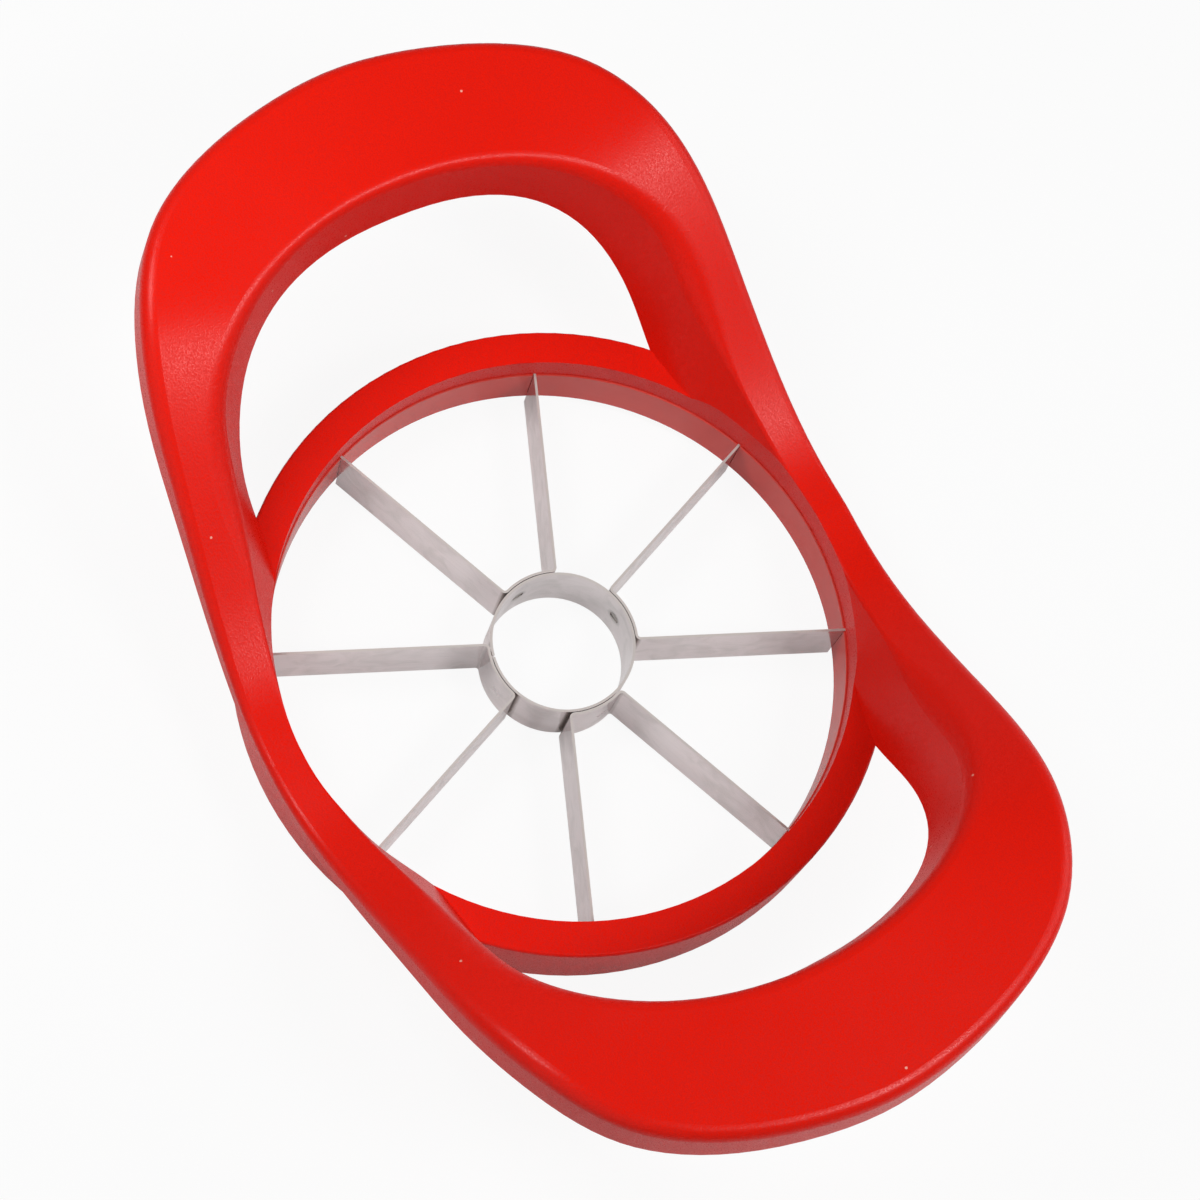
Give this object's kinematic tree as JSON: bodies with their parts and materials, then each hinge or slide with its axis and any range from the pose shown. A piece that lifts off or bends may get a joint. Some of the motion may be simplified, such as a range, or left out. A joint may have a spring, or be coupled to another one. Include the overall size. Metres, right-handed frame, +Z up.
{
  "type": "apple slicer and corer",
  "caption": "Push-down apple slicer and corer: a red plastic ring with raised loop handles, radial steel blades and a round core cutter.",
  "frame": {"origin": "on the axis of the ring, in the plane of the blades' lower edges", "axes": "+X along the length, towards one handle; +Z up the ring's axis, towards the handles' tops"},
  "size_m": [0.1736, 0.1018, 0.048],
  "materials": {
    "red_plastic": "satin, fine moulded texture",
    "stainless_steel": "satin rolled strip"
  },
  "bodies": {
    "root": {"handle_frame": "red_plastic", "blade_ring": "red_plastic", "core_ring": "stainless_steel", "blade_strip_1": "stainless_steel", "blade_strip_2": "stainless_steel", "blade_strip_3": "stainless_steel", "blade_strip_4": "stainless_steel", "spot_weld_1": "stainless_steel", "spot_weld_2": "stainless_steel", "spot_weld_3": "stainless_steel", "spot_weld_4": "stainless_steel"}
  },
  "joints": []
}
